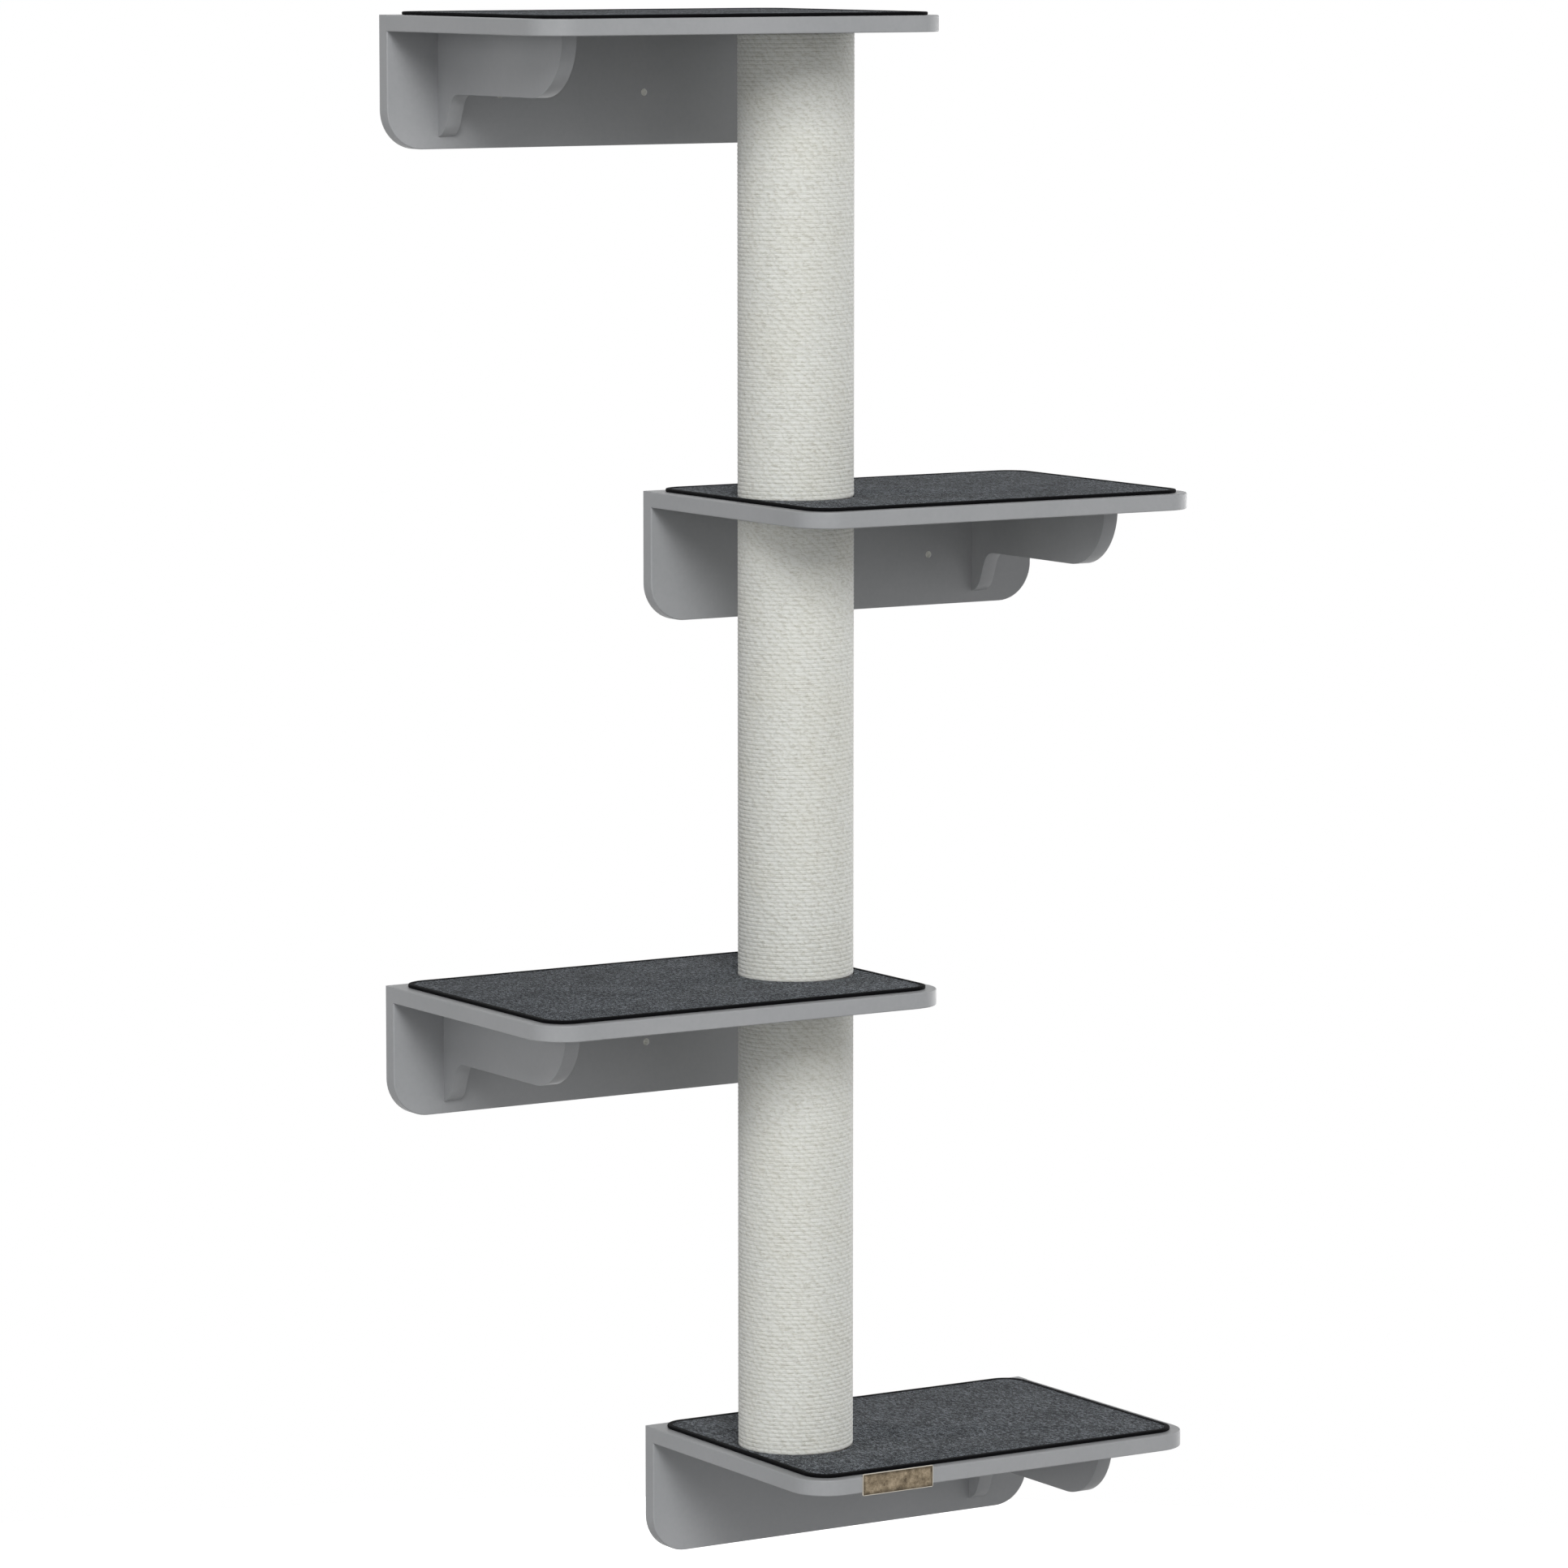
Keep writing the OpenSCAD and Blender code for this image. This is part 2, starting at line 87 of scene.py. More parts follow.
def paint(red, green, blue):
    # colour as picked on screen, 0 to 255, turned into Blender's linear colour
    def linear(part):
        part = part / 255
        return part / 12.92 if part <= 0.04045 else ((part + 0.055) / 1.055) ** 2.4
    return (linear(red), linear(green), linear(blue), 1)


def clearSelection():
    for thing in bpy.context.selected_objects:
        thing.select_set(False)


def pickOnly(piece):
    clearSelection()
    piece.select_set(True)
    bpy.context.view_layer.objects.active = piece


def bakePlace(piece, name):
    # place, turn and size go into the mesh
    pickOnly(piece)
    bpy.ops.object.transform_apply(location=True, rotation=True, scale=True)
    piece.name = name
    piece.data.name = name
    return piece


def startEdit(piece, mode):
    pickOnly(piece)
    bpy.ops.object.mode_set(mode="EDIT")
    bpy.ops.mesh.select_mode(type=mode)
    bpy.ops.mesh.select_all(action="DESELECT")


def selectWhere(piece, kind, test):
    # picks vertices, edges or faces by their place, in edit mode
    bpy.ops.mesh.select_all(action="DESELECT")
    shape = bmesh.from_edit_mesh(piece.data)
    for part in getattr(shape, kind):
        if test(part):
            part.select_set(True)
    shape.select_flush_mode()
    bmesh.update_edit_mesh(piece.data)


def endEdit():
    bpy.ops.object.mode_set(mode="OBJECT")


def applyModifier(piece, kind, **settings):
    pickOnly(piece)
    modifier = piece.modifiers.new("step", kind)
    for name, value in settings.items():
        setattr(modifier, name, value)
    bpy.ops.object.modifier_apply(modifier=modifier.name)


def smooth(piece, degrees):
    pickOnly(piece)
    bpy.ops.object.shade_smooth_by_angle(angle=math.radians(degrees))


# materials: in the dictionaries a noise is its scale, detail, roughness and distortion, a range is
# from where to where and into what, and colours are steps of a ramp

def newMaterial(name):
    material = bpy.data.materials.new(name)
    material.use_nodes = True
    tree = material.node_tree
    tree.nodes.clear()
    output = tree.nodes.new("ShaderNodeOutputMaterial")
    shader = tree.nodes.new("ShaderNodeBsdfPrincipled")
    tree.links.new(shader.outputs[0], output.inputs[0])
    return material, tree, shader


def addNode(tree, kind, feeds=None, **settings):
    node = tree.nodes.new(kind)
    for name, value in settings.items():
        setattr(node, name, value)
    feed(tree, node, feeds or {})
    return node


def feed(tree, node, feeds):
    for name, value in feeds.items():
        if isinstance(value, bpy.types.NodeSocket):
            tree.links.new(value, node.inputs[name])
        else:
            node.inputs[name].default_value = value


def objectPlace(tree, size=(1, 1, 1)):
    # Object coordinates, stretched by size
    place = addNode(tree, "ShaderNodeTexCoord").outputs["Object"]
    return addNode(tree, "ShaderNodeMapping", {"Vector": place, "Scale": size}).outputs[0]


def noise(tree, place, scale, detail=2.0, roughness=0.5, distortion=0.0):
    return addNode(tree, "ShaderNodeTexNoise", {
        "Vector": place, "Scale": scale, "Detail": detail, "Roughness": roughness,
        "Distortion": distortion}).outputs[0]


def sums(tree, operation, first, second=0.0, third=0.0):
    return addNode(tree, "ShaderNodeMath", {0: first, 1: second, 2: third},
                   operation=operation).outputs[0]


def shared(tree, *parts):
    # values added up, each by its share
    total = 0.0
    for value, share in parts:
        total = sums(tree, "MULTIPLY_ADD", value, share, total)
    return total


def circled(tree, operation, value, times=1.0):
    # sine or cosine of a value that counts whole turns
    return sums(tree, operation, sums(tree, "MULTIPLY", value, 2 * math.pi * times))


def between(tree, value, fromLow, fromHigh, toLow, toHigh):
    return addNode(tree, "ShaderNodeMapRange", {
        "Value": value, "From Min": fromLow, "From Max": fromHigh,
        "To Min": toLow, "To Max": toHigh}).outputs[0]


def ramp(tree, value, stops):
    node = addNode(tree, "ShaderNodeValToRGB", {"Fac": value})
    elements = node.color_ramp.elements
    while len(elements) < len(stops):
        elements.new(0.5)
    for element, (position, colour) in zip(elements, stops):
        element.position = position
        element.color = colour
    return node.outputs[0]


def mixColours(tree, share, first, second, blend="MIX"):
    node = addNode(tree, "ShaderNodeMix", {0: share, 6: first, 7: second},
                   data_type="RGBA", blend_type=blend)
    return node.outputs[2]


def bump(tree, shader, height, depth, strength=1.0):
    node = addNode(tree, "ShaderNodeBump", {
        "Height": height, "Distance": depth, "Strength": strength})
    feed(tree, shader, {"Normal": node.outputs[0]})


boardLook = {
    "blotches": (9.0, 3.0, 0.55), "blotchShare": 0.65,
    "roller": (245.0, 4.0, 0.6), "rollerShare": 0.35,
    "peel": (700.0, 3.0, 0.55), "peelDepth": 0.000035, "peelStrength": 0.6,
    "colours": [(0.3, paint(159, 161, 163)), (0.7, paint(171, 172, 174))],
    "rough": (0.3, 0.7, 0.36, 0.46), "specular": 0.3,
    "boreHighlight": paint(252, 252, 248), "boreReach": millimetres(2.56), "boreFade": millimetres(0.2),
    "pairAside": millimetres(132.25), "pairHalf": millimetres(64.25),
}


def inWallHoles(tree, place):
    # 1 on the raw walls of the wall holes, which lie in one row at every shelf; they get a
    # near-white painted highlight, not the colour of raw board
    split = addNode(tree, "ShaderNodeSeparateXYZ", {0: place})
    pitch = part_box("platform_1")[1].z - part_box("platform_2")[1].z
    aside = sums(tree, "ABSOLUTE", split.outputs[0])
    aside = sums(tree, "ABSOLUTE", sums(tree, "SUBTRACT", aside, boardLook["pairAside"]))
    aside = sums(tree, "SUBTRACT", aside, boardLook["pairHalf"])
    above = sums(tree, "PINGPONG", split.outputs[2], pitch / 2)
    reach = sums(tree, "SQRT", sums(tree, "MULTIPLY_ADD", aside, aside,
                                    sums(tree, "MULTIPLY", above, above)))
    edge = boardLook["boreReach"]
    return between(tree, reach, edge, edge + boardLook["boreFade"], 1.0, 0.0)


def boardPaintMaterial():
    look = boardLook
    material, tree, shader = newMaterial("boardPaint")
    place = objectPlace(tree)
    blotches = noise(tree, place, *look["blotches"])
    roller = noise(tree, place, *look["roller"])
    peel = noise(tree, place, *look["peel"])
    tone = shared(tree, (blotches, look["blotchShare"]), (roller, look["rollerShare"]))
    colour = ramp(tree, tone, look["colours"])
    # near-white painted highlight on the walls of the wall holes, so the holes show as bright dots
    colour = mixColours(tree, inWallHoles(tree, place), colour, look["boreHighlight"])
    rough = between(tree, roller, *look["rough"])
    feed(tree, shader, {"Base Color": colour, "Roughness": rough,
                        "Specular IOR Level": look["specular"]})
    bump(tree, shader, peel, look["peelDepth"], look["peelStrength"])
    return material


ropeLook = {
    "wander": (130.0, 3.0, 0.6), "wanderReach": 0.022,
    "strandLength": 0.008, "strandTurns": 3, "strandRound": 0.45,
    # colours along the strand's rise: darker in the hollows between strands, which is painted shade
    "colours": [(0.0, paint(217, 217, 208)), (0.42, paint(230, 231, 225)),
                (1.0, paint(235, 236, 231))],
    "patches": (22.0, 3.0, 0.6), "warm": paint(245, 241, 230), "warmShare": (0.42, 0.72, 0.0, 0.25),
    "fibre": (900.0, 4.0, 0.65, 0.4), "fibreSquash": (1, 1, 3.5), "fibreShare": 0.7,
    "fibreTones": [(0.3, (0.8, 0.79, 0.76, 1)), (0.58, (1, 1, 1, 1))],
    # groove, the dashes and the streaks place a painted shadow, a darker colour, in the gaps
    # between turns and between strands
    "groove": (0.45, 0.85, 1.0, 0.0), "grooveDash": (0.3, 0.8, 0.5, 0.0),
    "streaks": (200.0, 2.0, 0.5, 0.3), "streakSquash": (1, 1, 4.5),
    "streakDash": (0.35, 0.43, 0.32, 0.0), "paintedGrooveShadow": paint(162, 155, 138),
    "fuzz": (2600.0, 2.0, 0.6),
    "strandDepth": 0.00016, "fibreDepth": 0.0001, "fuzzDepth": 0.00005, "strength": 0.8,
    "rough": 0.86, "sheen": 0.45, "sheenRough": 0.6, "specular": 0.25,
}


def ropeMaterial():
    # u runs along the rope in metres, v once round it from its outer side
    look = ropeLook
    material, tree, shader = newMaterial("ropeFibre")
    ropeMap = addNode(tree, "ShaderNodeUVMap", uv_map="ropeMap").outputs[0]
    split = addNode(tree, "ShaderNodeSeparateXYZ", {0: ropeMap})
    along, around = split.outputs[0], split.outputs[1]
    place = objectPlace(tree)
    wander = noise(tree, place, *look["wander"])
    along = sums(tree, "MULTIPLY_ADD", wander, look["wanderReach"], along)
    lay = sums(tree, "DIVIDE", along, look["strandLength"])
    lay = sums(tree, "MULTIPLY_ADD", around, look["strandTurns"], lay)
    wave = between(tree, circled(tree, "COSINE", lay), -1.0, 1.0, 0.0, 1.0)
    strand = sums(tree, "POWER", wave, look["strandRound"])
    facing = sums(tree, "ABSOLUTE", circled(tree, "COSINE", around))
    groove = between(tree, facing, *look["groove"])
    grooveDash = between(tree, strand, *look["grooveDash"])
    streaks = noise(tree, objectPlace(tree, look["streakSquash"]), *look["streaks"])
    # painted shadow: a darker colour where turns touch, broken into dashes along the strands, and
    # in random short horizontal streaks
    paintedGrooveShadow = sums(tree, "MAXIMUM", sums(tree, "MULTIPLY", groove, grooveDash),
                between(tree, streaks, *look["streakDash"]))
    fibre = noise(tree, objectPlace(tree, look["fibreSquash"]), *look["fibre"])
    fuzz = noise(tree, place, *look["fuzz"])
    warmShare = between(tree, noise(tree, place, *look["patches"]), *look["warmShare"])
    # painted shade: the rope colour darkens into the hollows between the strands
    colour = ramp(tree, strand, look["colours"])
    colour = mixColours(tree, warmShare, colour, look["warm"], "MULTIPLY")
    fibreTone = ramp(tree, fibre, look["fibreTones"])
    colour = mixColours(tree, look["fibreShare"], colour, fibreTone, "MULTIPLY")
    colour = mixColours(tree, paintedGrooveShadow, colour, look["paintedGrooveShadow"])
    feed(tree, shader, {"Base Color": colour, "Roughness": look["rough"],
                        "Sheen Weight": look["sheen"], "Sheen Roughness": look["sheenRough"],
                        "Specular IOR Level": look["specular"]})
    height = shared(tree, (strand, look["strandDepth"]), (fibre, look["fibreDepth"]),
                    (fuzz, look["fuzzDepth"]))
    bump(tree, shader, height, 1.0, look["strength"])
    return material


feltLook = {
    "fleck": (560.0, 3.0, 0.6, 0.5), "fleckSquash": (1, 0.45, 1), "fleckShare": 0.3,
    "fibre": (1000.0, 2.0, 0.5, 3.5), "fibreLength": 0.2, "fibreShare": 0.6,
    "hair": (2400.0, 2.0, 0.6, 1.0), "hairShare": 0.1,
    "cloud": (30.0, 2.0, 0.5), "cloudTone": (0.3, 0.7, -0.012, 0.012),
    "colours": [(0.475, paint(25, 28, 32)), (0.537, paint(57, 62, 67)),
                (0.607, paint(180, 187, 195))],
    "depth": 0.001, "strength": 0.9,
    "rough": 0.95, "sheen": 0.06, "sheenRough": 0.5, "specular": 0.1,
}


def feltMaterial():
    # flecks under fibres that lie both ways, and finer hair over them
    look = feltLook
    material, tree, shader = newMaterial("matFelt")
    place = objectPlace(tree)
    along = look["fibreLength"]
    fleck = noise(tree, objectPlace(tree, look["fleckSquash"]), *look["fleck"])
    fibreX = noise(tree, objectPlace(tree, (along, 1, 1)), *look["fibre"])
    fibreY = noise(tree, objectPlace(tree, (1, along, 1)), *look["fibre"])
    fibre = sums(tree, "MAXIMUM", fibreX, fibreY)
    hair = noise(tree, place, *look["hair"])
    cloud = between(tree, noise(tree, place, *look["cloud"]), *look["cloudTone"])
    tone = shared(tree, (fleck, look["fleckShare"]), (hair, look["hairShare"]),
                  (fibre, look["fibreShare"]), (cloud, 1.0))
    colour = ramp(tree, tone, look["colours"])
    feed(tree, shader, {"Base Color": colour, "Roughness": look["rough"],
                        "Sheen Weight": look["sheen"], "Sheen Roughness": look["sheenRough"],
                        "Specular IOR Level": look["specular"]})
    bump(tree, shader, tone, look["depth"], look["strength"])
    return material


tapeLook = {
    "threadsPerMetre": 1 / 0.0009, "upShare": 0.5,
    "lint": (1500.0, 3.0, 0.6), "lintShare": 1.2, "tone": (-1.0, 2.0, 0.0, 1.0),
    "binding": [(0.1, paint(4, 4, 5)), (0.9, paint(16, 16, 18))],
    "hooks": [(0.1, paint(16, 16, 18)), (0.9, paint(44, 44, 48))],
    "rough": (0.3, 0.7, 0.6, 0.8), "specular": 0.04, "depth": 0.00012, "strength": 0.8,
}


def tapeMaterial(name, colours):
    # ribbed tape: fine threads both ways
    look = tapeLook
    material, tree, shader = newMaterial(name)
    place = objectPlace(tree)
    split = addNode(tree, "ShaderNodeSeparateXYZ", {0: place})
    ribX, ribY, ribZ = [circled(tree, "SINE", part, look["threadsPerMetre"])
                        for part in split.outputs]
    weave = sums(tree, "MULTIPLY", ribX, ribY)
    lint = noise(tree, place, *look["lint"])
    thread = shared(tree, (weave, 1.0), (ribZ, look["upShare"]), (lint, look["lintShare"]))
    tone = between(tree, thread, *look["tone"])
    colour = ramp(tree, tone, colours)
    rough = between(tree, lint, *look["rough"])
    feed(tree, shader, {"Base Color": colour, "Roughness": rough,
                        "Specular IOR Level": look["specular"]})
    bump(tree, shader, tone, look["depth"], look["strength"])
    return material


bronzeLook = {
    "patina": (150.0, 6.0, 0.7), "patinaShare": 0.75,
    "pits": (1600.0, 3.0, 0.6), "pitShare": 0.25,
    "colours": [(0.36, paint(84, 74, 61)), (0.5, paint(128, 115, 95)),
                (0.64, paint(162, 148, 126))],
    "shadow": paint(66, 58, 47), "shadowRagged": millimetres(2.4),
    "shadowShare": (millimetres(0.6), millimetres(3.4), 0.85, 0.0),
    "rimHighlight": paint(214, 207, 193), "rimHighlightShare": (millimetres(0.36), millimetres(0.6), 0.9, 0.0),
    "rough": (0.35, 0.65, 0.55, 0.3), "metallic": 0.85, "depth": 0.00006, "strength": 0.7,
}


def bronzeMaterial():
    # patina on the field, darker beside the rim, and a pale painted highlight on the rim itself
    look = bronzeLook
    material, tree, shader = newMaterial("agedBronze")
    place = objectPlace(tree)
    low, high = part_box("nameplate")
    middle = (low + high) / 2
    split = addNode(tree, "ShaderNodeSeparateXYZ", {0: place})
    aside = sums(tree, "ABSOLUTE", sums(tree, "SUBTRACT", split.outputs[0], middle.x))
    above = sums(tree, "ABSOLUTE", sums(tree, "SUBTRACT", split.outputs[2], middle.z))
    inward = sums(tree, "MINIMUM", sums(tree, "SUBTRACT", high.x - middle.x, aside),
                  sums(tree, "SUBTRACT", high.z - middle.z, above))
    patina = noise(tree, place, *look["patina"])
    pits = noise(tree, place, *look["pits"])
    tone = shared(tree, (patina, look["patinaShare"]), (pits, look["pitShare"]))
    ragged = sums(tree, "MULTIPLY_ADD", sums(tree, "SUBTRACT", patina, 0.5),
                  look["shadowRagged"], inward)
    colour = ramp(tree, tone, look["colours"])
    shade = between(tree, ragged, *look["shadowShare"])
    colour = mixColours(tree, shade, colour, look["shadow"])
    # pale painted highlight along the rim, where light would catch its edge
    rimHighlightMask = between(tree, inward, *look["rimHighlightShare"])
    colour = mixColours(tree, rimHighlightMask, colour, look["rimHighlight"])
    rough = between(tree, tone, *look["rough"])
    feed(tree, shader, {"Base Color": colour, "Roughness": rough, "Metallic": look["metallic"]})
    bump(tree, shader, tone, look["depth"], look["strength"])
    return material


metalLook = {
    "spangle": (900.0, 3.0, 0.6), "marks": (3200.0, 2.0, 0.5), "markRange": (0.3, 0.7),
    "depth": 0.00002, "strength": 0.5,
    "zinc": [(0.3, paint(150, 154, 160)), (0.7, paint(196, 199, 204))], "zincRough": (0.28, 0.42),
    "brass": [(0.3, paint(168, 138, 74)), (0.7, paint(206, 176, 106))], "brassRough": (0.25, 0.4),
}


def metalMaterial(name, colours, rough):
    look = metalLook
    material, tree, shader = newMaterial(name)
    place = objectPlace(tree)
    marks = noise(tree, place, *look["marks"])
    colour = ramp(tree, noise(tree, place, *look["spangle"]), colours)
    rough = between(tree, marks, *look["markRange"], *rough)
    feed(tree, shader, {"Base Color": colour, "Roughness": rough, "Metallic": 1.0})
    bump(tree, shader, marks, look["depth"], look["strength"])
    return material


woodLook = {
    "rings": {"Scale": 70.0, "Distortion": 5.0, "Detail": 3.0, "Detail Scale": 1.4},
    "ringShare": 0.7, "pores": (2400.0, 2.0, 0.6), "poreLength": (1, 1, 0.08), "poreShare": 0.3,
    "colours": [(0.2, paint(166, 128, 82)), (0.8, paint(212, 178, 130))],
    "rough": 0.7, "depth": 0.0001, "strength": 0.5,
}


def woodMaterial():
    # sawn plug: growth rings round a heart beside the post's axis
    look = woodLook
    material, tree, shader = newMaterial("plugWood")
    rings = addNode(tree, "ShaderNodeTexWave", {"Vector": objectPlace(tree), **look["rings"]},
                    wave_type="RINGS", rings_direction="Z").outputs["Fac"]
    pores = noise(tree, objectPlace(tree, look["poreLength"]), *look["pores"])
    tone = shared(tree, (rings, look["ringShare"]), (pores, look["poreShare"]))
    colour = ramp(tree, tone, look["colours"])
    feed(tree, shader, {"Base Color": colour, "Roughness": look["rough"]})
    bump(tree, shader, tone, look["depth"], look["strength"])
    return material


cardboardLook = {
    "fibres": (500.0, 4.0, 0.6), "fibreSquash": (1, 1, 4), "patches": (40.0, 3.0, 0.5),
    "share": 0.5, "colours": [(0.3, paint(150, 118, 80)), (0.7, paint(190, 158, 116))],
    "rough": 0.85, "depth": 0.0001, "strength": 0.6,
}


def cardboardMaterial():
    look = cardboardLook
    material, tree, shader = newMaterial("cardboardTube")
    fibres = noise(tree, objectPlace(tree, look["fibreSquash"]), *look["fibres"])
    patches = noise(tree, objectPlace(tree), *look["patches"])
    tone = shared(tree, (patches, look["share"]), (fibres, look["share"]))
    colour = ramp(tree, tone, look["colours"])
    feed(tree, shader, {"Base Color": colour, "Roughness": look["rough"]})
    bump(tree, shader, fibres, look["depth"], look["strength"])
    return material


looks = {
    "board": boardPaintMaterial(),
    "felt": feltMaterial(),
    "binding_tape": tapeMaterial("bindingTape", tapeLook["binding"]),
    "hook_tape": tapeMaterial("hookTape", tapeLook["hooks"]),
    "rope": ropeMaterial(),
    "cardboard": cardboardMaterial(),
    "plug_wood": woodMaterial(),
    "zinc_steel": metalMaterial("zincSteel", metalLook["zinc"], metalLook["zincRough"]),
    "insert_brass": metalMaterial("turnedBrass", metalLook["brass"], metalLook["brassRough"]),
    "aged_bronze": bronzeMaterial(),
}
for part in frame["record"]["subparts"]:
    for materialSlot in nodes[part["node"]].material_slots:
        materialSlot.material = looks[part["material_slot"]]
print("materials made")


def finishPiece(piece, slotName, *replaced):
    piece.data.materials.clear()
    piece.data.materials.append(looks[slotName])
    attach(piece, "root")
    if replaced:
        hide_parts(*replaced)
    return piece


# rope wound round each post

ropeShape = {
    "turns": 111, "stepsPerTurn": 48, "sides": 10, "crease": 60,
    "rise": millimetres(2.3),         # half the rope's height, pressed into its neighbours
    "depth": millimetres(1.1),        # half its depth across the post's wall
    "bend": millimetres(3.4),         # radius of the bend where an end is tucked into the post
    "bendSteps": 6,
    "tail": millimetres(2.4),
}


def nameRopeMap(piece, ringLength):
    # u along the rope in metres, v round it
    sides = ropeShape["sides"]
    mesh = piece.data
    layer = mesh.uv_layers.get("ropeMap") or mesh.uv_layers.new(name="ropeMap")
    for polygon in mesh.polygons:
        places = [(vertex // sides, vertex % sides) for vertex in polygon.vertices]
        wraps = {0, sides - 1} <= {around for ring, around in places}
        for loop, (ring, around) in zip(polygon.loop_indices, places):
            v = sides if wraps and around == 0 else around
            layer.data[loop].uv = (ring * ringLength, v / sides)


def windRope(post):
    low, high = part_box("core_tube_%d" % post)
    coverLow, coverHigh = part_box("rope_cover_%d" % post)
    postRadius = (coverHigh.x - coverLow.x) / 2
    radius = postRadius - ropeShape["depth"]
    climb = high.z - low.z - 2 * ropeShape["rise"]
    clearSelection()
    bpy.ops.mesh.primitive_circle_add(
        vertices=ropeShape["sides"], radius=ropeShape["depth"], fill_type="NOTHING",
        location=(0, radius, 0), rotation=(0, math.radians(90), 0))
    rope = bpy.context.object
    rope.scale = (ropeShape["rise"] / ropeShape["depth"], 1, 1)
    bakePlace(rope, "ropeWinding%d" % post)
    steps = ropeShape["turns"] * ropeShape["stepsPerTurn"]
    applyModifier(rope, "SCREW", axis="Z", angle=math.radians(360 * ropeShape["turns"]),
                  screw_offset=climb, iterations=1, steps=steps, render_steps=steps,
                  use_smooth_shade=True)
    nameRopeMap(rope, 2 * math.pi * radius / ropeShape["stepsPerTurn"])
    startEdit(rope, "VERT")
    lastRing = ropeShape["sides"] * steps
    for end in ("foot", "top"):
        # each end bends into the post at the back and runs straight in
        height = 0 if end == "foot" else climb
        shape = bmesh.from_edit_mesh(rope.data)
        shape.verts.ensure_lookup_table()
        bpy.ops.mesh.select_all(action="DESELECT")
        first = 0 if end == "foot" else lastRing
        for index in range(first, first + ropeShape["sides"]):
            shape.verts[index].select_set(True)
        shape.select_flush_mode()
        bmesh.update_edit_mesh(rope.data)
        turn = -90 if end == "foot" else 90
        bpy.ops.mesh.spin(steps=ropeShape["bendSteps"], angle=math.radians(turn),
                          center=(0, radius - ropeShape["bend"], height), axis=(0, 0, 1))
        bpy.ops.mesh.extrude_region_move(
            TRANSFORM_OT_translate={"value": (0, -ropeShape["tail"], 0)})
        bpy.ops.mesh.edge_face_add()
    bpy.ops.mesh.select_all(action="SELECT")
    bpy.ops.mesh.normals_make_consistent(inside=False)
    endEdit()
    rope.location = ((coverLow.x + coverHigh.x) / 2, (low.y + high.y) / 2,
                     low.z + ropeShape["rise"])
    bakePlace(rope, rope.name)
    smooth(rope, ropeShape["crease"])
    finishPiece(rope, "rope", "rope_cover_%d" % post, "rope_turns_%d" % post)


for post in posts:
    windRope(post)
print("rope wound")


# mats: felt with a folded tape round its edge

matShape = {
    "corner": millimetres(20), "cornerSteps": 12, "sharp": 50,
    "felt": {"ease": millimetres(0.4), "easeSteps": 2, "gap": millimetres(0.3),
             "punchSides": 96, "punchHeight": millimetres(10), "crease": 40},
    "tape": {"thick": millimetres(0.5), "width": millimetres(4), "fold": millimetres(0.9),
             "foldSteps": 3, "sharp": 60, "crease": 50},
}


def roundedPlate(low, high, z, name):
    # one flat face with round corners
    middle = (low + high) / 2
    clearSelection()
    bpy.ops.mesh.primitive_plane_add(size=1, location=(middle.x, middle.y, z))
    plate = bpy.context.object
    plate.scale = (high.x - low.x, high.y - low.y, 1)
    bakePlace(plate, name)
    startEdit(plate, "VERT")
    bpy.ops.mesh.select_all(action="SELECT")
    bpy.ops.mesh.bevel(offset=matShape["corner"], segments=matShape["cornerSteps"],
                       affect="VERTICES", clamp_overlap=False)
    endEdit()
    return plate


def layFelt(shelf):
    shape = matShape["felt"]
    low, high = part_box("mat_%d" % shelf)
    felt = roundedPlate(low, high, low.z, "matFelt%d" % shelf)
    width, length = high.x - low.x, high.y - low.y
    area = width * length - (4 - math.pi) * matShape["corner"] ** 2
    startEdit(felt, "FACE")
    bpy.ops.mesh.select_all(action="SELECT")
    bpy.ops.mesh.extrude_region_move(TRANSFORM_OT_translate={"value": (0, 0, high.z - low.z)})
    endEdit()
    if shelf > shelves[0]:
        # hole round the post that stands on this shelf
        coverLow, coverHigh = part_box("rope_cover_%d" % (shelf - 1))
        tubeLow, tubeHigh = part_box("core_tube_%d" % (shelf - 1))
        reach = (coverHigh.x - coverLow.x) / 2 + shape["gap"]
        clearSelection()
        bpy.ops.mesh.primitive_cylinder_add(
            vertices=shape["punchSides"], radius=reach, depth=shape["punchHeight"],
            location=((coverLow.x + coverHigh.x) / 2, (tubeLow.y + tubeHigh.y) / 2, low.z))
        punch = bpy.context.object
        bpy.ops.object.transform_apply(location=True)
        applyModifier(felt, "BOOLEAN", operation="DIFFERENCE", object=punch, solver="EXACT")
        bpy.data.objects.remove(punch)
        area -= math.pi * reach ** 2
    applyModifier(felt, "BEVEL", width=shape["ease"], segments=shape["easeSteps"],
                  limit_method="ANGLE", angle_limit=math.radians(matShape["sharp"]))
    smooth(felt, shape["crease"])
    return felt, (width, length), area


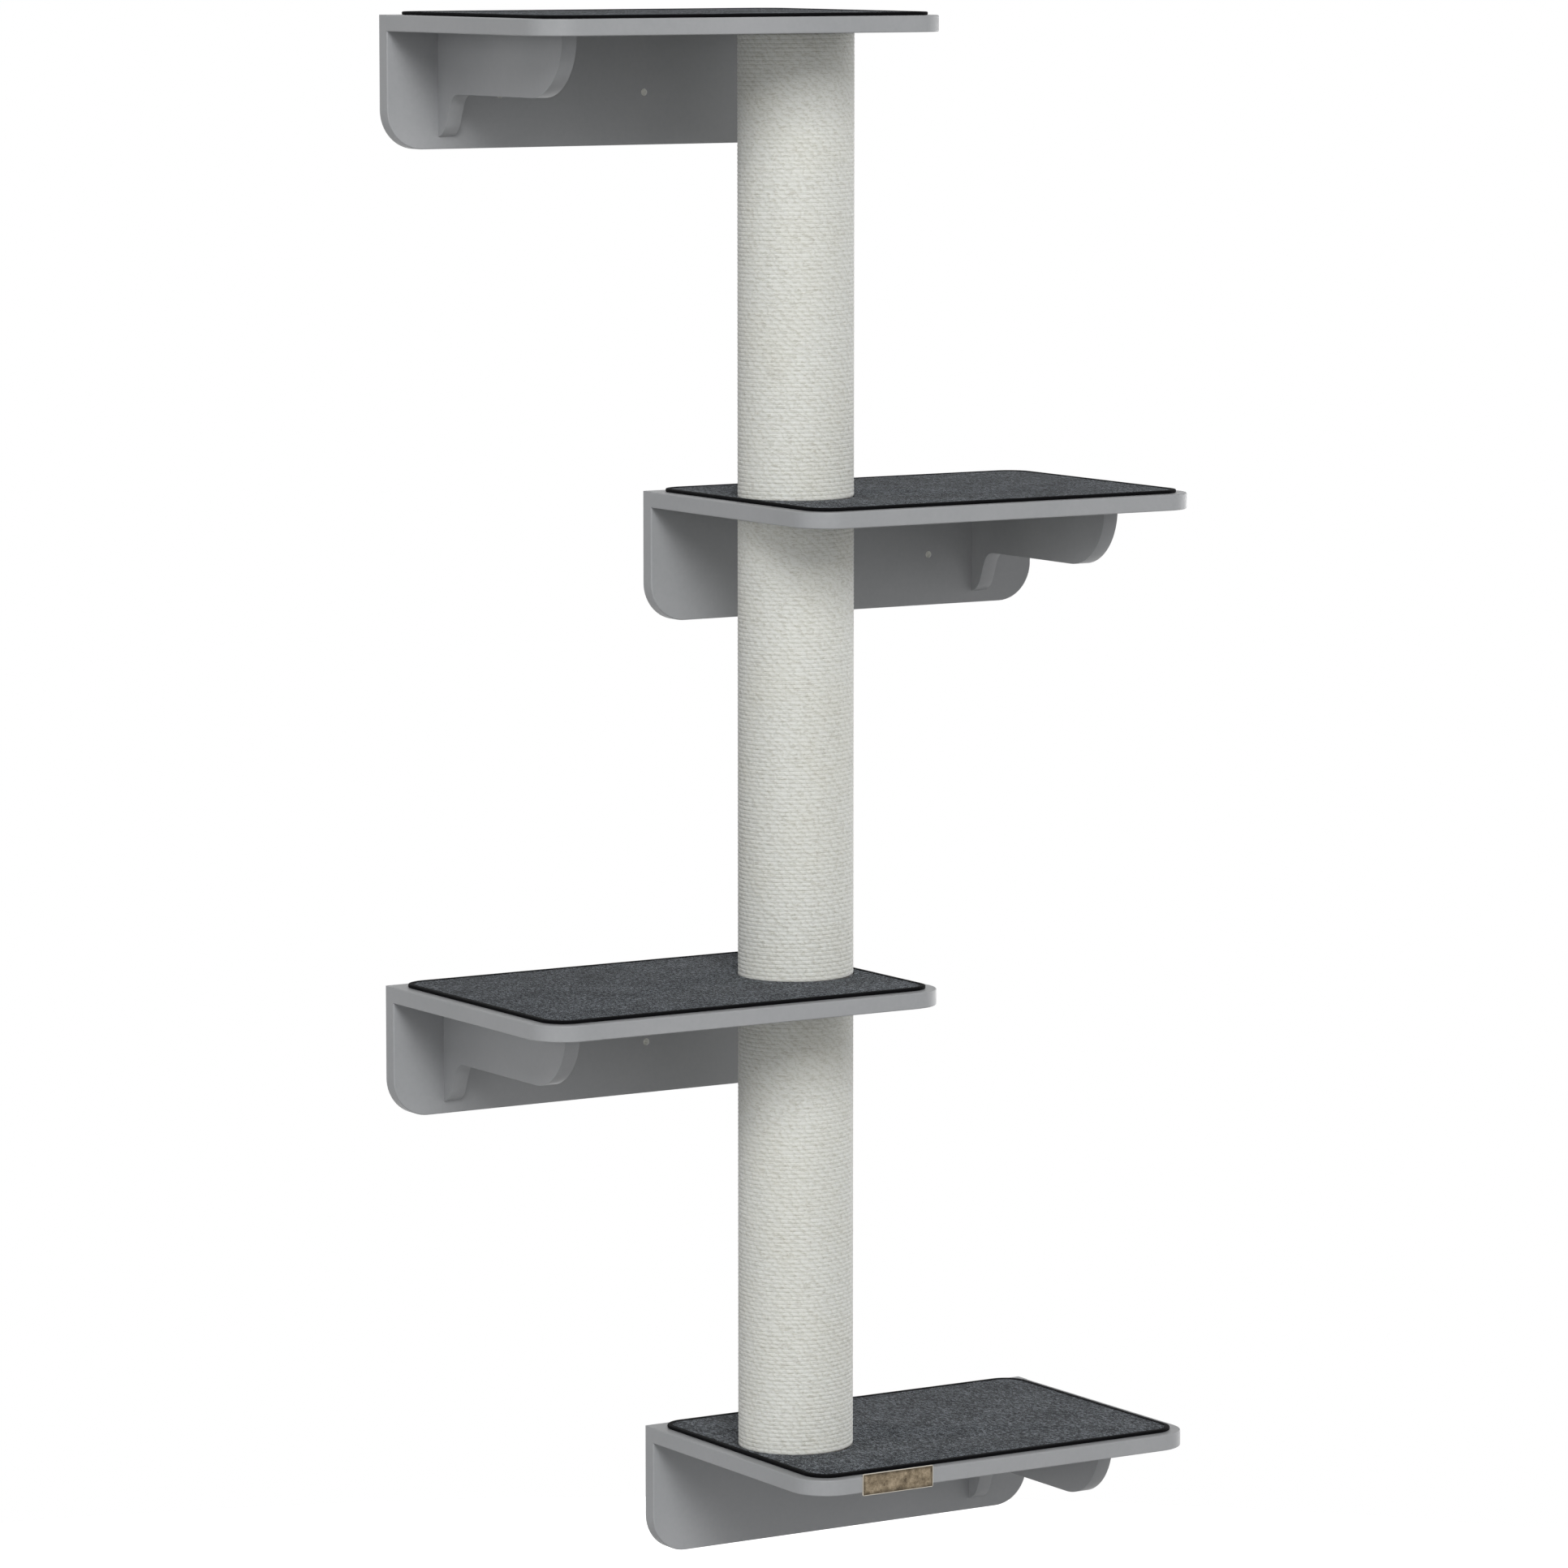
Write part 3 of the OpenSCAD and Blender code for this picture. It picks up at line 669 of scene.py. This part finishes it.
def foldTape(shelf):
    shape = matShape["tape"]
    low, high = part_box("binding_%d" % shelf)
    tape = roundedPlate(low, high, high.z, "matBinding%d" % shelf)
    startEdit(tape, "FACE")
    bpy.ops.mesh.select_all(action="SELECT")
    bpy.ops.mesh.inset(thickness=shape["width"], depth=0, use_even_offset=True)
    bpy.ops.mesh.delete(type="FACE")
    selectOuterEdge(tape, low, high)
    bpy.ops.mesh.extrude_region_move(TRANSFORM_OT_translate={"value": (0, 0, low.z - high.z)})
    bpy.ops.mesh.extrude_region_move()
    size = high - low
    inner = [1 - 2 * shape["width"] / size.x, 1 - 2 * shape["width"] / size.y, 1]
    bpy.ops.transform.resize(value=inner, center_override=(low + high) / 2)
    endEdit()
    applyModifier(tape, "BEVEL", width=shape["fold"], segments=shape["foldSteps"],
                  limit_method="ANGLE", angle_limit=math.radians(shape["sharp"]))
    startEdit(tape, "FACE")
    bpy.ops.mesh.select_all(action="SELECT")
    bpy.ops.mesh.normals_make_consistent(inside=False)
    endEdit()
    applyModifier(tape, "SOLIDIFY", thickness=shape["thick"], offset=-1)
    smooth(tape, shape["crease"])
    return tape


def selectOuterEdge(tape, low, high):
    # the open edge along the mat's outline, not the one round the felt
    corner = matShape["corner"]
    middle = (low + high) / 2
    half = (high - low) / 2

    def outside(point):
        # distance from the outline of the rounded rectangle
        x = abs(point.x - middle.x) - (half.x - corner)
        y = abs(point.y - middle.y) - (half.y - corner)
        reach = math.hypot(max(x, 0), max(y, 0))
        return abs(reach - corner) < matShape["tape"]["width"] / 4

    bpy.ops.mesh.select_mode(type="EDGE")
    selectWhere(tape, "edges", lambda edge: len(edge.link_faces) == 1
                and all(outside(vertex.co) for vertex in edge.verts))


for shelf in shelves:
    felt, flatSize, flatArea = layFelt(shelf)
    tape = foldTape(shelf)
    finishPiece(felt, "felt", "mat_%d" % shelf)
    finishPiece(tape, "binding_tape", "binding_%d" % shelf)
print("mats laid")


# brackets: the sawn shape with its edges eased

bracketShape = {
    "ease": millimetres(1.0), "easeSteps": 3, "sharp": 50, "crease": 40,
    "weld": millimetres(0.01), "level": 0.5,
}


def easeBracket(shelf):
    # a copy of the CAD solid, its facets joined into whole faces first
    source = nodes["bracket_%d" % shelf]
    piece = source.copy()
    piece.data = source.data.copy()
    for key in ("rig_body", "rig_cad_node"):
        del piece[key]
    piece.parent = None
    bpy.context.scene.collection.objects.link(piece)
    bakePlace(piece, "bracketBoard%d" % shelf)
    startEdit(piece, "FACE")
    bpy.ops.mesh.select_all(action="SELECT")
    bpy.ops.mesh.remove_doubles(threshold=bracketShape["weld"])
    bpy.ops.mesh.customdata_custom_splitnormals_clear()
    bpy.ops.mesh.dissolve_limited(angle_limit=math.radians(bracketShape["level"]))
    endEdit()
    applyModifier(piece, "BEVEL", width=bracketShape["ease"], segments=bracketShape["easeSteps"],
                  limit_method="ANGLE", angle_limit=math.radians(bracketShape["sharp"]))
    smooth(piece, bracketShape["crease"])
    finishPiece(piece, "board", "bracket_%d" % shelf)


for shelf in shelves:
    easeBracket(shelf)
print("brackets eased")


# bare plate on the lowest shelf's front edge

plateShape = {
    "corner": millimetres(1), "cornerSteps": 4, "ease": millimetres(0.35), "easeSteps": 2,
    "rim": millimetres(0.6), "sunk": millimetres(0.15), "flat": millimetres(0.2),
    "sharp": 60, "crease": 35,
}


def castPlate():
    low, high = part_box("nameplate")
    depth = high.y - low.y

    def runsInward(edge):
        return abs(edge.verts[0].co.y - edge.verts[1].co.y) > depth / 2

    clearSelection()
    bpy.ops.mesh.primitive_cube_add(size=1, location=(low + high) / 2)
    plate = bpy.context.object
    plate.scale = high - low
    bakePlace(plate, "barePlate")
    startEdit(plate, "EDGE")
    selectWhere(plate, "edges", runsInward)
    bpy.ops.mesh.bevel(offset=plateShape["corner"], segments=plateShape["cornerSteps"],
                       affect="EDGES")
    bpy.ops.mesh.select_mode(type="FACE")
    selectWhere(plate, "faces", lambda face: face.normal.y < -0.9)
    bpy.ops.mesh.inset(thickness=plateShape["rim"], depth=-plateShape["sunk"])
    bpy.ops.mesh.inset(thickness=plateShape["flat"], depth=0)
    endEdit()
    applyModifier(plate, "BEVEL", width=plateShape["ease"], segments=plateShape["easeSteps"],
                  limit_method="ANGLE", angle_limit=math.radians(plateShape["sharp"]))
    smooth(plate, plateShape["crease"])
    finishPiece(plate, "aged_bronze", "nameplate")


castPlate()
print("plate made")


# camera as the photograph was taken, level with the uppermost shelf and turned a little down

cameraShape = {
    "place": (-2.94124, -4.78608), "aboveTopShelf": 0.0882, "azimuth": 32.1584, "tilt": 7.05405,
    "focalPixels": 8828.4, "imagePixels": 1932, "sensor": 36, "farthest": 60,
}


def placeCamera():
    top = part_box("platform_1")[1].z
    data = bpy.data.cameras.new("photoCamera")
    camera = bpy.data.objects.new("photoCamera", data)
    bpy.context.scene.collection.objects.link(camera)
    data.sensor_width = cameraShape["sensor"]
    data.lens = data.sensor_width * cameraShape["focalPixels"] / cameraShape["imagePixels"]
    camera.location = (*cameraShape["place"], top + cameraShape["aboveTopShelf"])
    camera.rotation_euler = (math.radians(90 - cameraShape["tilt"]), 0,
                             -math.radians(cameraShape["azimuth"]))
    data.clip_end = cameraShape["farthest"]
    bpy.context.scene.camera = camera


placeCamera()


# floor, lamps and sky

stageShape = {
    "floorDrop": 0.55, "floorRadius": 2.6, "floorSides": 96,
    "floorGlow": (0.5, 1.9, 0.38, 1.1),      # from the plain middle to the white rim
    "grain": (14.0, 3.0, 0.5), "rough": 0.9,
    "colours": [(0.3, paint(186, 186, 186)), (0.7, paint(192, 192, 192))],
    "skyLow": 0.2, "skyBand": 0.87, "bandTop": 0.35, "bandFade": 0.08,
}
lampShapes = {
    "keyLamp": {"place": (-3.0, -6.5, 5.1), "size": 3.4, "power": 425, "aim": (0, -0.1, 0.65)},
    "leftLamp": {"place": (-5.2, -1.5, 0.6), "size": 2.5, "power": 22, "aim": (0, -0.1, 0.65)},
    "rightLamp": {"place": (5.2, -0.4, 0.6), "size": 2.5, "power": 45, "aim": (0, -0.1, 0.65)},
    "rimLamp": {"place": (4.4, 1.8, 0.1), "size": 2.0, "power": 30, "aim": (0, -0.1, 0.5)},
}


def seenDirectly(tree):
    # 1 for rays from the camera, straight, mirrored or through glass
    ray = addNode(tree, "ShaderNodeLightPath")
    direct = sums(tree, "MAXIMUM", ray.outputs["Is Camera Ray"], ray.outputs["Is Glossy Ray"])
    return sums(tree, "MAXIMUM", direct, ray.outputs["Is Transmission Ray"])


def layFloor():
    # round floor that keeps the shadow below the tree and fades into the white sky
    clearSelection()
    bottom = cadBox[0].z
    bpy.ops.mesh.primitive_circle_add(
        vertices=stageShape["floorSides"], radius=stageShape["floorRadius"], fill_type="NGON",
        location=(0, 0, bottom - stageShape["floorDrop"]))
    floor = bakePlace(bpy.context.object, "studioFloor")
    material, tree, shader = newMaterial("paleFloor")
    grain = noise(tree, objectPlace(tree), *stageShape["grain"])
    colour = ramp(tree, grain, stageShape["colours"])
    flat = objectPlace(tree, (1, 1, 0))
    reach = addNode(tree, "ShaderNodeVectorMath", {0: flat}, operation="LENGTH").outputs["Value"]
    glow = between(tree, reach, *stageShape["floorGlow"])
    glow = sums(tree, "MULTIPLY", seenDirectly(tree), glow)
    feed(tree, shader, {"Base Color": colour, "Roughness": stageShape["rough"],
                        "Emission Color": (1, 1, 1, 1), "Emission Strength": glow})
    floor.data.materials.append(material)


def hangLamps():
    for name, shape in lampShapes.items():
        data = bpy.data.lights.new(name, "AREA")
        data.shape = "SQUARE"
        data.size = shape["size"]
        data.energy = shape["power"]
        lamp = bpy.data.objects.new(name, data)
        lamp.location = shape["place"]
        aim = Vector(shape["aim"]) - lamp.location
        lamp.rotation_euler = aim.to_track_quat("-Z", "Y").to_euler()
        lamp.visible_camera = False
        bpy.context.scene.collection.objects.link(lamp)


def paintSky():
    # white where it is seen; the tree is lit by a soft band of light all round, above the horizon
    world = bpy.data.worlds.new("studioSky")
    world.use_nodes = True
    bpy.context.scene.world = world
    tree = world.node_tree
    tree.nodes.clear()
    output = tree.nodes.new("ShaderNodeOutputWorld")
    way = addNode(tree, "ShaderNodeTexCoord").outputs["Generated"]
    rise = addNode(tree, "ShaderNodeSeparateXYZ", {0: way}).outputs[2]
    fade, bandTop = stageShape["bandFade"], stageShape["bandTop"]
    light = between(tree, rise, -fade, fade, stageShape["skyLow"], stageShape["skyBand"])
    light = between(tree, rise, bandTop - fade, bandTop + fade, light, 0.0)
    strength = between(tree, seenDirectly(tree), 0.0, 1.0, light, 1.0)
    sky = addNode(tree, "ShaderNodeBackground", {"Color": (1, 1, 1, 1), "Strength": strength})
    tree.links.new(sky.outputs[0], output.inputs[0])


layFloor()
hangLamps()
paintSky()
bpy.context.scene.view_settings.view_transform = "Standard"
print("stage set")
